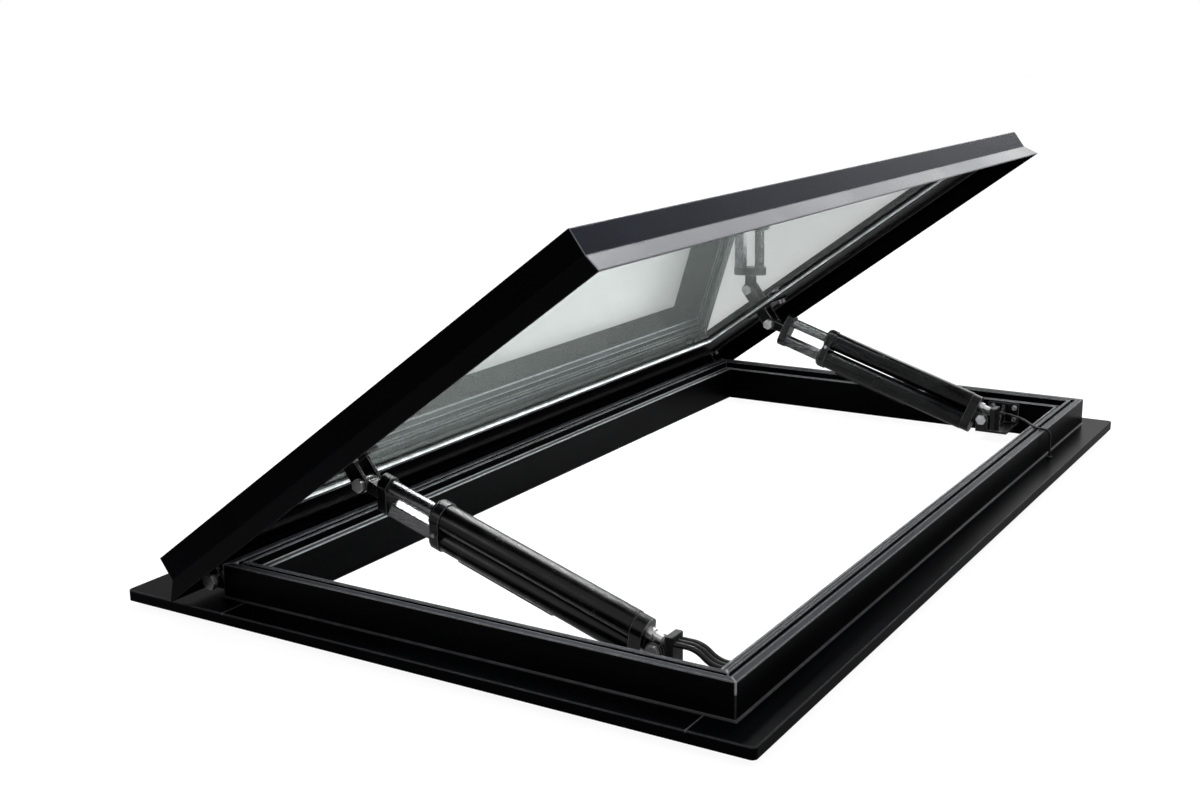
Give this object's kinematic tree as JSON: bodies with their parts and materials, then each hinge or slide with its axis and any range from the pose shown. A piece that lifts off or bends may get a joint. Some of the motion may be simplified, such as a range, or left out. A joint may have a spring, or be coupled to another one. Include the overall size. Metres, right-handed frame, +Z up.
{
  "type": "opening roof skylight",
  "caption": "Rectangular roof skylight: curb with base flange and a glazed lid standing open on side hinges, held by a twin-tube telescopic drive near each short side.",
  "frame": {"origin": "middle of the base at the level of the curb's lower edge", "axes": "+X from the hinge side to the side that opens, +Y along the long side, +Z up"},
  "size_m": [1, 1.7, 0.5948],
  "materials": {
    "frame_coat": "near-black satin powder coat on aluminium",
    "fascia_coat": "dark blue-grey satin powder coat on folded aluminium sheet",
    "bead_coat": "near-black satin powder coat on aluminium",
    "spacer_bar": "dull black spacer bar",
    "glazing": "clear float glass with a slight green tint",
    "rubber_seal": "black rubber",
    "bracket_coat": "black powder-coated steel",
    "barrel_lacquer": "glossy black lacquer",
    "rod_steel": "ground steel",
    "bolt_steel": "bright plated steel",
    "box_plastic": "black moulded plastic",
    "cable_jacket": "black cable jacket"
  },
  "bodies": {
    "frame": {"curb_front": "frame_coat", "curb_rear": "frame_coat", "curb_left": "frame_coat", "curb_right": "frame_coat", "flange_front": "frame_coat", "flange_rear": "frame_coat", "flange_left": "frame_coat", "flange_right": "frame_coat", "hinge_bracket_left": "bracket_coat", "hinge_bracket_right": "bracket_coat", "hinge_bolts": "bolt_steel", "base_bracket_left": "bracket_coat", "base_bracket_right": "bracket_coat", "base_pins": "bolt_steel", "junction_box_left": "box_plastic", "junction_box_right": "box_plastic", "cable_bush_left": "rubber_seal", "cable_grommet_right": "rubber_seal", "drive_cable_left_1": "cable_jacket", "drive_cable_left_2": "cable_jacket", "drive_cable_left_3": "cable_jacket", "drive_cable_right": "cable_jacket"},
    "lid": {"lid_frame_front": "frame_coat", "lid_frame_rear": "frame_coat", "lid_frame_left": "frame_coat", "lid_frame_right": "frame_coat", "lid_fascia_front": "fascia_coat", "lid_fascia_rear": "fascia_coat", "lid_fascia_left": "fascia_coat", "lid_fascia_right": "fascia_coat", "glass_inner": "glazing", "glass_outer": "glazing", "glass_spacer": "spacer_bar", "glazing_gasket": "rubber_seal", "glazing_bead": "bead_coat", "lid_seal": "rubber_seal", "hinge_ear_left": "bracket_coat", "hinge_ear_right": "bracket_coat", "lid_bracket_left": "bracket_coat", "lid_bracket_right": "bracket_coat", "lid_pivot_studs": "bolt_steel"},
    "drive_left": {"upper_barrel_left": "barrel_lacquer", "lower_barrel_left": "barrel_lacquer", "base_yoke_left": "bracket_coat", "barrel_clamp_left": "bracket_coat", "end_fitting_left": "bolt_steel"},
    "rods_left": {"upper_rod_left": "rod_steel", "lower_rod_left": "rod_steel", "crosshead_left": "bracket_coat"},
    "drive_right": {"upper_barrel_right": "barrel_lacquer", "lower_barrel_right": "barrel_lacquer", "base_yoke_right": "bracket_coat", "barrel_clamp_right": "bracket_coat", "end_fitting_right": "bolt_steel"},
    "rods_right": {"upper_rod_right": "rod_steel", "lower_rod_right": "rod_steel", "crosshead_right": "bracket_coat"}
  },
  "joints": [
    {"name": "lid_hinge", "type": "hinge", "parent": "frame", "child": "lid", "pos_m": [-0.378, 0, 0.046], "axis": [0, -1, 0], "range_deg": [-36.3, 0]},
    {"name": "drive_pivot_left", "type": "hinge", "parent": "frame", "child": "drive_left", "pos_m": [0.288, -0.668, 0.043], "axis": [0, 1, 0], "range_deg": [-17.49, 0.05]},
    {"name": "rod_slide_left", "type": "slide", "parent": "drive_left", "child": "rods_left", "axis": [-0.952, 0, 0.306], "range_m": [-0.0717, 0.0001]},
    {"name": "drive_pivot_right", "type": "hinge", "parent": "frame", "child": "drive_right", "pos_m": [0.288, 0.668, 0.043], "axis": [0, 1, 0], "range_deg": [-17.49, 0.05]},
    {"name": "rod_slide_right", "type": "slide", "parent": "drive_right", "child": "rods_right", "axis": [-0.952, 0, 0.306], "range_m": [-0.0717, 0.0001]}
  ],
  "couplings": [
    {"joint": "drive_pivot_left", "follows": "lid_hinge", "ratio": 0.47952},
    {"joint": "rod_slide_left", "follows": "lid_hinge", "m_per_rad": 0.11302},
    {"joint": "drive_pivot_right", "follows": "lid_hinge", "ratio": 0.47952},
    {"joint": "rod_slide_right", "follows": "lid_hinge", "m_per_rad": 0.11302}
  ]
}
